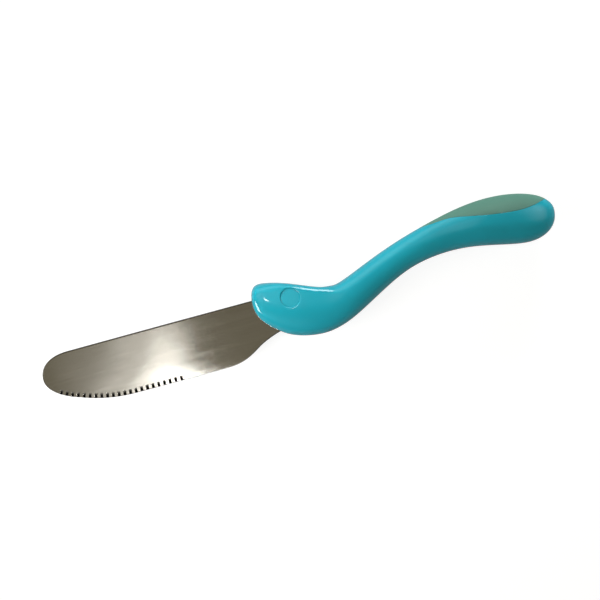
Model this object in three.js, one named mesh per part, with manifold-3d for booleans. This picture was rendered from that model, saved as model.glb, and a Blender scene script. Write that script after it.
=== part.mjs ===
// Child's table knife: a stamped steel blade whose tang is clamped between the two moulded halves of
// an S-shaped handle. A cross pin under two round plugs locks the tang, and a soft pad sits on the palm rest.
// Millimetres. The knife lies on its right side: +X runs from tip to butt, +Y to the spine, +Z up.
import * as THREE from "three";
import { mergeVertices } from "three/addons/utils/BufferGeometryUtils.js";
import Module from "manifold-3d";

const wasm = await Module();
wasm.setup();

// Clearances
const SEAT_GAP = 0.3;
const SLOT_CLEARANCE = 0.15;
const PIN_CLEARANCE = 0.1;

// Blade, side view. Lengths count from the point where the spine enters the handle, heights from the spine.
const BLADE_LENGTH = 76.75;
const BLADE_HEIGHT = 20.2;
const BLADE_THICKNESS = 1.2;
const SPINE_CROWN = 0.15;
const TIP_LENGTH = 10.75;
const TIP_DROP = 7.6;
const TIP_HEIGHT = 16.6;
const BELLY_LENGTH = 20;
const HEEL_SETBACK = 14;
const NECK_SETBACK = 2;
const NECK_SHOULDER = 16.2;
const NECK_DEPTH = 9;
const NECK_HEIGHT = 12.1;

// Ground edge: thickness left at the edge, height of the grind and the length over which it runs out
const EDGE_THICKNESS = 0.4;
const GRIND_HEIGHT = 6;
const GRIND_RUNOUT = 16;

// Serration: small flutes ground into the left side of the edge
const FLUTE_COUNT = 22;
const FLUTE_PITCH = 2;
const FLUTE_START = 7.6;
const FLUTE_RADIUS = 0.45;
const FLUTE_DEPTH = 0.45;
const FLUTE_LENGTH = 1.7;

// Handle sections from nose to butt: centre, height, lean from the vertical in degrees, and width
const HANDLE_WIDTH = 15.6;
const NECK_WIDTH = 12;
const NOSE = { x: 0.3, y: -5.05 };
const BUTT = { x: 108.65, y: 2.55 };
const SECTIONS = [
  { x: 3.55, y: -3.9, height: 15.9, lean: 13.4, width: 11.2 },
  { x: 7.4, y: -4.7, height: 18.85, lean: 7.3, width: 15.2 },
  { x: 13.75, y: -6.95, height: 18.4, lean: -1.6, width: HANDLE_WIDTH },
  { x: 22.75, y: -9.5, height: 15.9, lean: -9.1, width: 15 },
  { x: 27.3, y: -9.25, height: 14.4, lean: 3, width: 14.6 },
  { x: 31.4, y: -8.1, height: 13, lean: 18.9, width: 13.8 },
  { x: 41.35, y: -3.7, height: 11.4, lean: 24.3, width: 12.4 },
  { x: 54.6, y: 1.5, height: 10.4, lean: 18, width: NECK_WIDTH },
  { x: 68, y: 4.35, height: 11.9, lean: 9.7, width: 13 },
  { x: 79.75, y: 5.15, height: 14.8, lean: -1.9, width: 14.8 },
  { x: 92, y: 3.9, height: 17.2, lean: -6.7, width: HANDLE_WIDTH },
  { x: 101.75, y: 2, height: 15.4, lean: -13.1, width: 14 },
  { x: 107, y: 1.8, height: 8.8, lean: -7.9, width: 8.6 },
];
const SECTION_POWER = 2.4;

// Moulded halves: wall, ribs, and the stations along the handle where ribs and pegs stand
const WALL = 2.8;
const CAVITY_FROM = 1.35;
const CAVITY_TO = 12.75;
const RIB_THICKNESS = 1.4;
const RIB_STATIONS = [4.1, 6.6, 8.2, 9.6, 11.1];
const PEG_DIAMETER = 2.8;
const PEG_BOSS_DIAMETER = 5.6;
const PEG_REACH = 3;
const TANG_PEG_STATION = 5.6;
const SEAM_PEG_STATIONS = [9, 11.8];

// Tang: coined thinner than the blade from just in front of the handle. Its edges keep below the handle's
// surface, and it runs between two stations of the handle.
const TANG_THICKNESS = 1;
const TANG_SHOULDER = 0.3;
const TANG_INSET = 2.4;
const TANG_FROM = 1.7;
const TANG_TO = 7.2;

// Cross pin through the tang, and the plugs over its ends
const PIN_DIAMETER = 3;
const PIN_STATION = 2.88;
const PIN_RISE = 3.9;
const PIN_BOSS_DIAMETER = 10.4;
const PLUG_DIAMETER = 7.4;
const PLUG_DEPTH = 3.2;
const PLUG_RECESS = 0.25;

// Grip pad on top of the palm rest. Its lower edge is drawn in the side view.
const PAD_THICKNESS = 1.6;
const PAD_FLOOR = 1.6;
const PAD_EDGE = [
  { x: 63.5, y: 8.7 },
  { x: 73, y: 9.1 },
  { x: 85, y: 7.5 },
  { x: 97, y: 6.2 },
  { x: 107.2, y: 7.6 },
];
const PAD_PEG_DIAMETER = 2.2;
const PAD_PEG_LENGTH = 3.6;
const PAD_PEG_STATIONS = [10.1, 11.4];
const PAD_PEG_SPREAD = 3;

// Facets
const RING_SIDES = 26;
const RINGS_PER_SECTION = 3;
const INNER_RING_SIDES = 14;
const INNER_RINGS_PER_SECTION = 2;
const ROUND_SIDES = 24;
const PEG_SIDES = 12;
const FLUTE_SIDES = 8;
const CURVE_STEPS = 8;
const EDGE_STEPS = 46;

// A cutter reaches this far past what it cuts
const OVERSHOOT = 2;
const FAR = 60;

const steel = new THREE.MeshStandardMaterial({ color: 0xb4b0a4, roughness: 0.32, metalness: 1 });
const turquoise = new THREE.MeshStandardMaterial({ color: 0x2bacc0, roughness: 0.22, metalness: 0 });
const softGrip = new THREE.MeshStandardMaterial({ color: 0x639080, roughness: 0.6, metalness: 0 });

// Solids

// A closed three.js geometry as a solid that can be joined and cut
function solid(geometry) {
  const bare = geometry.clone();
  bare.deleteAttribute("normal");
  bare.deleteAttribute("uv");
  const merged = mergeVertices(bare, 1e-5);
  return new wasm.Manifold(
    new wasm.Mesh({
      numProp: 3,
      vertProperties: merged.attributes.position.array,
      triVerts: new Uint32Array(merged.index.array),
    }),
  );
}

// A finished solid as a named mesh
function piece(name, made, material) {
  const { vertProperties, triVerts } = made.getMesh();
  const geometry = new THREE.BufferGeometry();
  geometry.setAttribute("position", new THREE.BufferAttribute(vertProperties, 3));
  geometry.setIndex(new THREE.BufferAttribute(triVerts, 1));
  geometry.computeVertexNormals();
  const mesh = new THREE.Mesh(geometry, material);
  mesh.name = name;
  return mesh;
}

// A skin through equal rings of points, closed at each end by a fan round the ring's middle.
// Rings run counter-clockwise when seen from the last ring back to the first.
function loft(rings) {
  const sides = rings[0].length;
  const points = rings.flat();
  const triangles = [];
  for (let r = 0; r + 1 < rings.length; r++) {
    for (let i = 0; i < sides; i++) {
      const a = r * sides + i;
      const b = r * sides + ((i + 1) % sides);
      triangles.push(a, b, a + sides, b, b + sides, a + sides);
    }
  }
  for (const [ring, start, turn] of [
    [rings[0], 0, 1],
    [rings.at(-1), (rings.length - 1) * sides, -1],
  ]) {
    const middle = ring.reduce((sum, p) => sum.add(p), new THREE.Vector3()).divideScalar(sides);
    const hub = points.push(middle) - 1;
    for (let i = 0; i < sides; i++) {
      const edge = [start + i, start + ((i + 1) % sides)];
      triangles.push(hub, ...(turn > 0 ? edge.reverse() : edge));
    }
  }
  const geometry = new THREE.BufferGeometry().setFromPoints(points);
  geometry.setIndex(triangles);
  return geometry;
}

// A flat outline made solid between two heights
function plate(shape, low, high) {
  const geometry = new THREE.ExtrudeGeometry(shape, {
    depth: high - low,
    bevelEnabled: false,
    curveSegments: CURVE_STEPS,
  });
  return solid(geometry.translate(0, 0, low));
}

// A round bar along Z between two heights
function bar(x, y, diameter, low, high, sides = PEG_SIDES) {
  const geometry = new THREE.CylinderGeometry(diameter / 2, diameter / 2, high - low, sides);
  geometry.rotateX(Math.PI / 2);
  return solid(geometry.translate(x, y, (low + high) / 2));
}

function joined(solids) {
  return solids.reduce((sum, next) => sum.add(next));
}

// Handle form

// One closed curve runs along the top of the handle and back underneath. Its height off the middle plane
// carries the half width, so that nose and butt close in a round.
const handleCurve = (() => {
  const rail = (side) =>
    SECTIONS.map(({ x, y, height, lean, width }) => {
      const angle = THREE.MathUtils.degToRad(lean);
      const reach = (side * height) / 2;
      return new THREE.Vector3(
        x - reach * Math.sin(angle),
        y + reach * Math.cos(angle),
        (side * width) / 2,
      );
    });
  const nose = new THREE.Vector3(NOSE.x, NOSE.y, 0);
  const butt = new THREE.Vector3(BUTT.x, BUTT.y, 0);
  return new THREE.CatmullRomCurve3([nose, ...rail(1), butt, ...rail(-1).reverse()], true);
})();
const LAST_STATION = SECTIONS.length + 1;

// The handle's section at a station: 0 is the nose, 1 the first listed section, and the last the butt
function section(station) {
  const turn = station / (2 * LAST_STATION);
  const top = handleCurve.getPoint(turn);
  const bottom = handleCurve.getPoint(1 - turn);
  const halfHeight = Math.hypot(top.x - bottom.x, top.y - bottom.y) / 2;
  return {
    x: (top.x + bottom.x) / 2,
    y: (top.y + bottom.y) / 2,
    up: new THREE.Vector2(top.x - bottom.x, top.y - bottom.y).normalize(),
    halfHeight,
    halfWidth: (top.z - bottom.z) / 2,
  };
}

// The point that lies so far above the middle of a section
function onSection(station, rise) {
  const { x, y, up } = section(station);
  return new THREE.Vector2(x + up.x * rise, y + up.y * rise);
}

// Height of the handle's surface over the middle plane, so far above the middle of a section
function surfaceHeight(station, rise) {
  const { halfHeight, halfWidth } = section(station);
  const share = Math.abs(rise) / halfHeight;
  return halfWidth * (1 - share ** SECTION_POWER) ** (1 / SECTION_POWER);
}

// The handle's skin between two stations, taken in all round by an inset
function handleSkin(inset, from, to, sides, ringsPerSection) {
  const power = 2 / SECTION_POWER;
  const half = sides / 2;
  const steps = Math.round((to - from) * ringsPerSection);
  const rings = [];
  for (let k = 0; k <= steps; k++) {
    const { x, y, up, halfHeight, halfWidth } = section(from + ((to - from) * k) / steps);
    const ring = [];
    for (let i = 0; i < sides; i++) {
      const angle = (Math.PI * i) / half;
      const rise = Math.sign(Math.cos(angle)) * Math.abs(Math.cos(angle)) ** power * (halfHeight - inset);
      const side = i % half === 0 ? 0 : Math.sign(Math.sin(angle)) * Math.abs(Math.sin(angle)) ** power;
      ring.push(new THREE.Vector3(x + up.x * rise, y + up.y * rise, side * (halfWidth - inset)));
    }
    rings.push(ring);
  }
  return loft(rings);
}

function handleForm(inset, from, to) {
  return solid(handleSkin(inset, from, to, RING_SIDES, RINGS_PER_SECTION));
}

// The same form with fewer facets, for faces that lie inside the handle
function innerForm(inset, from, to) {
  return solid(handleSkin(inset, from, to, INNER_RING_SIDES, INNER_RINGS_PER_SECTION));
}

// Blade

const tipX = -BLADE_LENGTH;
const tipEndX = tipX + TIP_LENGTH;
const bellyEndX = tipEndX + BELLY_LENGTH;
const heelX = -HEEL_SETBACK;
const neckX = -NECK_SETBACK;

// The stretch of the outline that is ground: under the tip, along the belly and the straight, up the heel
function edgeCurves(grow) {
  const point = (x, y) => new THREE.Vector2(x, y - grow);
  const belly = -BLADE_HEIGHT;
  return [
    new THREE.CubicBezierCurve(
      point(tipX, -TIP_DROP),
      point(tipX, -TIP_DROP - 0.4 * (TIP_HEIGHT - TIP_DROP)),
      point(tipEndX - 0.6 * TIP_LENGTH, -TIP_HEIGHT + 0.22 * (TIP_HEIGHT - TIP_DROP)),
      point(tipEndX, -TIP_HEIGHT),
    ),
    new THREE.CubicBezierCurve(
      point(tipEndX, -TIP_HEIGHT),
      point(tipEndX + 0.3 * BELLY_LENGTH, -TIP_HEIGHT + 0.5 * (belly + TIP_HEIGHT)),
      point(bellyEndX - 0.35 * BELLY_LENGTH, belly),
      point(bellyEndX, belly),
    ),
    new THREE.LineCurve(point(bellyEndX, belly), point(heelX, belly)),
    new THREE.CubicBezierCurve(
      point(heelX, belly),
      point(heelX + 0.38 * (neckX - heelX), belly),
      point(neckX - 0.33 * (neckX - heelX), -NECK_SHOULDER + 0.55 * (belly + NECK_SHOULDER)),
      point(neckX, -NECK_SHOULDER),
    ),
  ];
}

// The blade's outline up to the end of the neck inside the handle, grown upwards and downwards
function bladeShape(grow) {
  const shape = new THREE.Shape();
  const neckDrop = NECK_SHOULDER - NECK_HEIGHT;
  shape.curves.push(
    new THREE.QuadraticBezierCurve(
      new THREE.Vector2(NECK_DEPTH, grow),
      new THREE.Vector2((NECK_DEPTH + tipEndX) / 2, 2 * SPINE_CROWN + grow),
      new THREE.Vector2(tipEndX, grow),
    ),
    new THREE.CubicBezierCurve(
      new THREE.Vector2(tipEndX, grow),
      new THREE.Vector2(tipEndX - 0.65 * TIP_LENGTH, grow),
      new THREE.Vector2(tipX, -0.4 * TIP_DROP - grow),
      new THREE.Vector2(tipX, -TIP_DROP - grow),
    ),
    ...edgeCurves(grow),
    new THREE.CubicBezierCurve(
      new THREE.Vector2(neckX, -NECK_SHOULDER - grow),
      new THREE.Vector2(neckX + 0.25 * (NECK_DEPTH - neckX), -NECK_SHOULDER + 0.42 * neckDrop - grow),
      new THREE.Vector2(NECK_DEPTH - 0.4 * (NECK_DEPTH - neckX), -NECK_HEIGHT - 0.3 * neckDrop - grow),
      new THREE.Vector2(NECK_DEPTH, -NECK_HEIGHT - grow),
    ),
    new THREE.LineCurve(new THREE.Vector2(NECK_DEPTH, -NECK_HEIGHT - grow), new THREE.Vector2(NECK_DEPTH, grow)),
  );
  return shape;
}

// The tang follows the handle's bends and ends in a round
function tangShape(grow) {
  const steps = CURVE_STEPS * 2;
  const top = [];
  const bottom = [];
  for (let i = 0; i <= steps; i++) {
    const station = TANG_FROM + ((TANG_TO - TANG_FROM) * i) / steps;
    const reach = section(station).halfHeight - TANG_INSET + grow;
    top.push(onSection(station, reach));
    bottom.push(onSection(station, -reach));
  }
  for (const first of [top[0], bottom[0]]) first.x -= grow;
  const shape = new THREE.Shape([...bottom.slice().reverse(), ...top]);
  const end = section(TANG_TO);
  const upright = end.up.angle();
  const radius = end.halfHeight - TANG_INSET + grow;
  shape.absarc(end.x, end.y, radius, upright, upright - Math.PI, true);
  return shape;
}

// Neck and tang as one flat blank of the tang's thickness, grown all round
function tangBlank(grow) {
  const half = TANG_THICKNESS / 2 + grow;
  return plate(bladeShape(grow), -half, half).add(plate(tangShape(grow), -half, half));
}

// The blade at its full thickness, which stops at a shoulder in front of the handle
function bladeBlank() {
  const half = BLADE_THICKNESS / 2;
  const skin = handleSkin(0, 0, LAST_STATION, RING_SIDES, RINGS_PER_SECTION);
  return plate(bladeShape(0), -half, half).subtract(solid(skin.translate(-TANG_SHOULDER, 0, 0)));
}

const cuttingEdge = new THREE.CurvePath();
cuttingEdge.curves.push(...edgeCurves(0));
const edgeLength = cuttingEdge.getLength();

// A point of the cutting edge, with the direction that runs from it into the blade
function edgePoint(share) {
  const tangent = cuttingEdge.getTangent(share);
  return {
    at: cuttingEdge.getPoint(share),
    inward: new THREE.Vector2(-tangent.y, tangent.x),
  };
}

// How much of the full grind there is at a place along the edge, since it runs out at both ends
function grindShare(share) {
  const fromEnd = Math.min(share, 1 - share) * edgeLength;
  return Math.max(0.02, THREE.MathUtils.smoothstep(fromEnd, 0, GRIND_RUNOUT));
}

// What the grinding wheel takes off one side of the blade. The slope stays the same where it runs out.
const grindSlope = (BLADE_THICKNESS - EDGE_THICKNESS) / 2 / GRIND_HEIGHT;

function grind(side) {
  const rings = [];
  const face = BLADE_THICKNESS / 2;
  for (let k = 0; k <= EDGE_STEPS; k++) {
    const share = k / EDGE_STEPS;
    const { at, inward } = edgePoint(share);
    const height = GRIND_HEIGHT * grindShare(share);
    const outside = -grindSlope * (height + OVERSHOOT);
    const corners = [
      [height, 0],
      [-OVERSHOOT, outside],
      [-OVERSHOOT, OVERSHOOT],
      [height, OVERSHOOT],
    ];
    const ring = corners.map(
      ([into, off]) =>
        new THREE.Vector3(at.x + inward.x * into, at.y + inward.y * into, side * (face + off)),
    );
    rings.push(side > 0 ? ring.reverse() : ring);
  }
  return solid(loft(rings));
}

// One flute of the serration: a slim round bar that leaves the blade's left side at the flute's upper end
function flute(index) {
  const share = (FLUTE_START + index * FLUTE_PITCH) / edgeLength;
  const { at, inward } = edgePoint(share);
  const climb = grindSlope * FLUTE_LENGTH + FLUTE_DEPTH;
  const edgeHeight = BLADE_THICKNESS / 2 - grindSlope * GRIND_HEIGHT * grindShare(share);
  const low = edgeHeight + FLUTE_RADIUS - FLUTE_DEPTH;
  const along = new THREE.Vector3(inward.x * FLUTE_LENGTH, inward.y * FLUTE_LENGTH, climb).normalize();
  const length = 2 * (FLUTE_LENGTH + OVERSHOOT);
  const geometry = new THREE.CylinderGeometry(FLUTE_RADIUS, FLUTE_RADIUS, length, FLUTE_SIDES);
  geometry.applyQuaternion(new THREE.Quaternion().setFromUnitVectors(new THREE.Vector3(0, 1, 0), along));
  return solid(geometry.translate(at.x, at.y, low));
}

const pinAt = onSection(PIN_STATION, PIN_RISE);
const pinBore = PIN_DIAMETER + 2 * PIN_CLEARANCE;
const tangPegAt = onSection(TANG_PEG_STATION, 0);
const pegBore = PEG_DIAMETER + 2 * PIN_CLEARANCE;

function blade() {
  const flutes = Array.from({ length: FLUTE_COUNT }, (_, index) => flute(index));
  return bladeBlank()
    .add(tangBlank(0))
    .subtract(grind(1))
    .subtract(grind(-1))
    .subtract(joined(flutes))
    .subtract(bar(pinAt.x, pinAt.y, pinBore, -OVERSHOOT, OVERSHOOT))
    .subtract(bar(tangPegAt.x, tangPegAt.y, pegBore, -OVERSHOOT, OVERSHOOT));
}

// Pin and plugs

const plugTop = surfaceHeight(PIN_STATION, PIN_RISE);
const plugFoot = plugTop - PLUG_DEPTH;
const pocketFoot = plugFoot - SEAT_GAP;

function tangPin() {
  return bar(pinAt.x, pinAt.y, PIN_DIAMETER, -pocketFoot, pocketFoot);
}

// The plug's outer face keeps the handle's curve, a little below it
function pinPlug(side) {
  const ends = [side * plugFoot, side * (plugTop + OVERSHOOT)].sort((a, b) => a - b);
  const form = handleForm(PLUG_RECESS, 1, LAST_STATION - 1);
  return bar(pinAt.x, pinAt.y, PLUG_DIAMETER, ...ends, ROUND_SIDES).intersect(form);
}

function plugPocket(side) {
  const ends = [side * pocketFoot, side * (plugTop + OVERSHOOT)].sort((a, b) => a - b);
  return bar(pinAt.x, pinAt.y, PLUG_DIAMETER + 2 * SEAT_GAP, ...ends, ROUND_SIDES);
}

// Grip pad

// Everything over the pad's lower edge, widened by a margin
function padZone(margin) {
  const edge = PAD_EDGE.map(({ x, y }) => new THREE.Vector2(x, y - margin));
  edge[0].x -= margin;
  edge.at(-1).x += margin;
  const shape = new THREE.Shape();
  shape.moveTo(edge[0].x, FAR);
  shape.lineTo(edge[0].x, edge[0].y);
  shape.splineThru(edge.slice(1));
  shape.lineTo(edge.at(-1).x, FAR);
  return plate(shape, -FAR, FAR);
}

// The handle's form below the pad, so far under the surface
function underPad(depth) {
  return innerForm(depth, PAD_PEG_STATIONS[0] - 3, LAST_STATION - 0.6);
}

// The pad's retaining pegs, or with a gap the holes for them
function padPegs(gap) {
  const pegs = [];
  for (const station of PAD_PEG_STATIONS) {
    const { x, y, up, halfHeight } = section(station);
    const high = y + up.y * (halfHeight - PAD_THICKNESS);
    const low = high - PAD_PEG_LENGTH - gap;
    for (const side of [-1, 1]) {
      const radius = PAD_PEG_DIAMETER / 2 + gap;
      const geometry = new THREE.CylinderGeometry(radius, radius, high - low, PEG_SIDES);
      geometry.translate(x, (low + high) / 2, side * PAD_PEG_SPREAD);
      pegs.push(solid(geometry));
    }
  }
  return joined(pegs);
}

const handleOuter = handleForm(0, 0, LAST_STATION);

function gripPad() {
  return handleOuter.intersect(padZone(0)).subtract(underPad(PAD_THICKNESS)).add(padPegs(0));
}

const padPocket = padZone(SEAT_GAP).subtract(underPad(PAD_THICKNESS + SEAT_GAP));

// Handle halves

const seamPegs = [TANG_PEG_STATION, ...SEAM_PEG_STATIONS].map((station) => onSection(station, 0));

// A wall across the handle at a station
function rib(station) {
  const { x, y, up } = section(station);
  const geometry = new THREE.BoxGeometry(RIB_THICKNESS, FAR, FAR);
  geometry.rotateZ(up.angle() - Math.PI / 2);
  return solid(geometry.translate(x, y, 0));
}

// The hollow inside both halves: the inner form less ribs, bosses and the floor under the pad
const hollow = innerForm(WALL, CAVITY_FROM, CAVITY_TO)
  .subtract(joined(RIB_STATIONS.map(rib)))
  .subtract(joined(seamPegs.map(({ x, y }) => bar(x, y, PEG_BOSS_DIAMETER, -FAR, FAR))))
  .subtract(bar(pinAt.x, pinAt.y, PIN_BOSS_DIAMETER, -FAR, FAR))
  .subtract(padZone(PAD_FLOOR).subtract(underPad(PAD_THICKNESS + SEAT_GAP + PAD_FLOOR)));

const tangSlot = tangBlank(SLOT_CLEARANCE);

// One half of the handle, on the left (1) or right (-1) of the blade
function handleHalf(side) {
  const depth = 2 * FAR;
  const slab = new THREE.BoxGeometry(4 * FAR, depth, depth).translate(FAR, 0, (side * depth) / 2);
  return handleOuter
    .intersect(solid(slab))
    .subtract(hollow)
    .subtract(tangSlot)
    .subtract(padPocket)
    .subtract(padPegs(SEAT_GAP))
    .subtract(plugPocket(side))
    .subtract(bar(pinAt.x, pinAt.y, pinBore, -FAR, FAR));
}

// The left half carries the pegs that pass through the tang and the seam
function leftHalf() {
  const root = TANG_THICKNESS / 2 + SLOT_CLEARANCE + OVERSHOOT;
  return handleHalf(1).add(joined(seamPegs.map(({ x, y }) => bar(x, y, PEG_DIAMETER, -PEG_REACH, root))));
}

function rightHalf() {
  const foot = -PEG_REACH - SEAT_GAP;
  return handleHalf(-1).subtract(joined(seamPegs.map(({ x, y }) => bar(x, y, pegBore, foot, OVERSHOOT))));
}

// Knife

const knife = new THREE.Group();
knife.add(
  piece("blade", blade(), steel),
  piece("handle_half_left", leftHalf(), turquoise),
  piece("handle_half_right", rightHalf(), turquoise),
  piece("tang_pin", tangPin(), steel),
  piece("pin_plug_left", pinPlug(1), turquoise),
  piece("pin_plug_right", pinPlug(-1), turquoise),
  piece("grip_pad", gripPad(), softGrip),
);

// The origin lies on the table, under the middle of the knife
const extent = new THREE.Box3().setFromObject(knife);
const middle = extent.getCenter(new THREE.Vector3());
knife.position.set(-middle.x, -middle.y, -extent.min.z);

const part = new THREE.Group();
part.add(knife);
export default part;
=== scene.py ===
"""Table knife with an S-shaped moulded handle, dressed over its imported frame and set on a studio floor."""

import math

import bmesh
import bpy
import numpy as np
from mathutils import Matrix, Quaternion, Vector


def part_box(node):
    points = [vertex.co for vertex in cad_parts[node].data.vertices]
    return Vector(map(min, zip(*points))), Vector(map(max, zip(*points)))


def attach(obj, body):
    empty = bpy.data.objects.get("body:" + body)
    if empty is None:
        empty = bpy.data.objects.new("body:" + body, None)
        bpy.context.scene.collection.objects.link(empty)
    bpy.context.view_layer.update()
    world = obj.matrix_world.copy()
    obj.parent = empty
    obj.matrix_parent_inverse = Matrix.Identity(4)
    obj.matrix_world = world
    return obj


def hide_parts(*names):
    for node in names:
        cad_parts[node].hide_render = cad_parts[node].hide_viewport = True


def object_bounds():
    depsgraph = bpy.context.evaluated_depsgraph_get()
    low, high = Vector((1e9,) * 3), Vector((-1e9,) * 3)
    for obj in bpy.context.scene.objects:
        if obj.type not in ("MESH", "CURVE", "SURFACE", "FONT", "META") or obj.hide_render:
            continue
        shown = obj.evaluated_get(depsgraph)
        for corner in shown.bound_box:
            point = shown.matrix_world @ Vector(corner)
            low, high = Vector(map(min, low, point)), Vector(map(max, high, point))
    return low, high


bl_info = {
    "name": "Table knife",
    "version": (1, 0, 0),
    "blender": (4, 5, 0),
    "location": "View3D > Sidebar > Knife",
    "description": "Builds a table knife with a steel blade, a moulded handle and a soft grip pad",
    "category": "Object",
}

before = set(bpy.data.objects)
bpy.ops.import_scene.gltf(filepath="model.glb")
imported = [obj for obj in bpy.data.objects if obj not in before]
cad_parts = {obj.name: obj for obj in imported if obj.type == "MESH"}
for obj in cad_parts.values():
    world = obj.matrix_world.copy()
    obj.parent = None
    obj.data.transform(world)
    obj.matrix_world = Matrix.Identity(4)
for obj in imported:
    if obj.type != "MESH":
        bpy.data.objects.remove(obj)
CAD_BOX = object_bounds()
BODY = "root"
MM = 0.001

# The outlines below are in millimetres, counted from the point where the spine enters the handle:
# x towards the butt, y towards the spine, z out of the left side of the blade.
BLADE_LENGTH = 76.75
BLADE_HEIGHT = 20.2
blade_low, blade_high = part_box("blade")
KNIFE_ORIGIN = Vector((
    blade_low.x + BLADE_LENGTH * MM,
    blade_low.y + BLADE_HEIGHT * MM,
    (blade_low.z + blade_high.z) / 2,
))

# Handle sections from nose to butt: centre x and y, height, lean in degrees, width,
# how square the upper and the lower half of the oval are (2 is an ellipse),
# and how far its widest line lies above the middle, as a share of half the height
NOSE = (0.3, -5.05)
BUTT = (108.65, 2.55)
HANDLE_SECTIONS = (
    (3.44, -3.71, 16.3, 13.8, 11.6, 2.5, 2.3, 0.54),
    (7.4, -4.7, 18.85, 7.3, 14.1, 2.8, 2.3, 0.53),
    (13.75, -6.95, 18.4, -1.6, 15.5, 5.5, 2.25, 0.48),
    (22.75, -9.5, 15.9, -9.1, 15.2, 5.8, 2.2, 0.43),
    (27.3, -9.25, 14.4, 3.0, 15.2, 3.6, 2.2, 0.38),
    (31.4, -8.17, 12.87, 18.9, 15.3, 2.6, 2.2, 0.3),
    (41.35, -3.8, 11.35, 24.3, 14.2, 2.35, 2.2, 0.14),
    (54.6, 1.5, 10.4, 18.0, 12.6, 2.3, 2.2, 0.08),
    (68.0, 4.35, 11.9, 9.7, 13.0, 2.5, 2.2, 0.09),
    (79.75, 5.15, 14.8, -1.9, 14.8, 2.6, 2.3, 0.02),
    (92.0, 3.9, 17.2, -6.7, 15.6, 2.6, 2.4, 0.0),
    (101.75, 2.0, 15.4, -13.1, 14.0, 2.5, 2.4, 0.0),
    (107.0, 1.8, 8.8, -7.9, 8.6, 2.4, 2.4, 0.0),
)
LAST_STATION = len(HANDLE_SECTIONS) + 1
HEAD_WIDTH = 15.6
NOSE_BLUNTNESS = 0.85
NOSE_STATIONS = (1.5, 3.5)

# Lower edge of the grip pad in the side view
PAD_EDGE = (
    (60.0, 9.0), (64.0, 9.05), (68.0, 9.25), (72.2, 9.4), (75.6, 8.95), (79.5, 8.1), (87.5, 6.6), (96.0, 5.75),
    (102.0, 6.3), (109.0, 8.2))

# Middle of the round plugs, their depth and that of their pockets, the play round them,
# and the rounded rim of the pockets
PLUG_AT = (12.92, -2.48)
PLUG_DEPTH = 2.0
POCKET_DEPTH = 2.2
PLUG_PLAY = 0.02
RIM_WIDTH = 0.42
RIM_TURN = math.radians(62)

# Rims of the halves and of the pad: how far their points are taken in, and how far they reach round a section.
# The halves' rim along the pad is finer than their rim along the seam.
SEAM_RIM = np.array([0.1, 0.045, 0.012])
PAD_RIM = np.array([0.09, 0.04, 0.01])
RIM_REACH = np.array([0, 0.04, 0.09, 0.16])
PAD_RIM_SHARE = 0.35

# Half the width of the seam, play of the blade's slot and of the pad's bed, wall under the bed,
# and the gap along the pad's edge
SEAM = 0.01
SLOT_PLAY = 0.06
BED_PLAY = 0.12
BED_WALL = 1.2
PAD_GAP = 0.03

# The slot's rim is open until the handle stands this far over the spine and below the edge,
# closes over a further stretch, and is closed from a station on
SLOT_OVER_SPINE = 0.35
SLOT_UNDER_EDGE = 0.2
SLOT_CLOSING = 0.4
SLOT_LAST_STATION = 3

# How finely the halves, the plugs and the pad are divided
HALF_POINTS = 64
POCKET_POINTS = 144
PLUG_POINTS = 96
PAD_RINGS = 150
PAD_POINTS = 41
PAD_UNDER_POINTS = 13

# Station from which the pad is looked for, and the least angle that it covers at its ends
PAD_FROM_STATION = 6
PAD_LEAST_ANGLE = 0.05


class BladeSettings(bpy.types.PropertyGroup):
    """Sizes and finish of the blade."""

    thickness: bpy.props.FloatProperty(
        name="Thickness", description="Thickness of the blade at the spine", default=1.2 * MM, unit="LENGTH")
    edge_thickness: bpy.props.FloatProperty(
        name="Edge thickness", description="Thickness left at the ground edge", default=0.85 * MM, unit="LENGTH")
    grind_height: bpy.props.FloatProperty(
        name="Grind height", description="How far the ground edge reaches up the blade", default=8 * MM,
        unit="LENGTH")
    flute_pitch: bpy.props.FloatProperty(
        name="Flute pitch", description="Distance from flute to flute along the edge", default=2.03 * MM,
        unit="LENGTH")
    flute_count: bpy.props.IntProperty(
        name="Flutes", description="Number of flutes in the serration", default=22, min=0)
    steel: bpy.props.FloatVectorProperty(
        name="Steel", description="Colour of the brushed steel", default=(0.63, 0.604, 0.545), subtype="COLOR")


class HandleSettings(bpy.types.PropertyGroup):
    """Sizes and colours of the handle, its plugs and its pad."""

    wall: bpy.props.FloatProperty(
        name="Wall", description="Wall of the moulded halves", default=1.8 * MM, unit="LENGTH")
    plug_diameter: bpy.props.FloatProperty(
        name="Plug diameter", description="Diameter of the round plugs over the pin", default=6.4 * MM,
        unit="LENGTH")
    plug_recess: bpy.props.FloatProperty(
        name="Plug recess", description="How far the plugs lie below the surface", default=0.3 * MM,
        unit="LENGTH")
    pad_thickness: bpy.props.FloatProperty(
        name="Pad thickness", description="Thickness of the soft grip pad", default=1.3 * MM, unit="LENGTH")
    plastic: bpy.props.FloatVectorProperty(
        name="Plastic", description="Colour of the moulded handle", default=(0.012, 0.40, 0.515), subtype="COLOR")
    pad: bpy.props.FloatVectorProperty(
        name="Pad", description="Colour of the soft grip pad", default=(0.108, 0.265, 0.21), subtype="COLOR")


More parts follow.
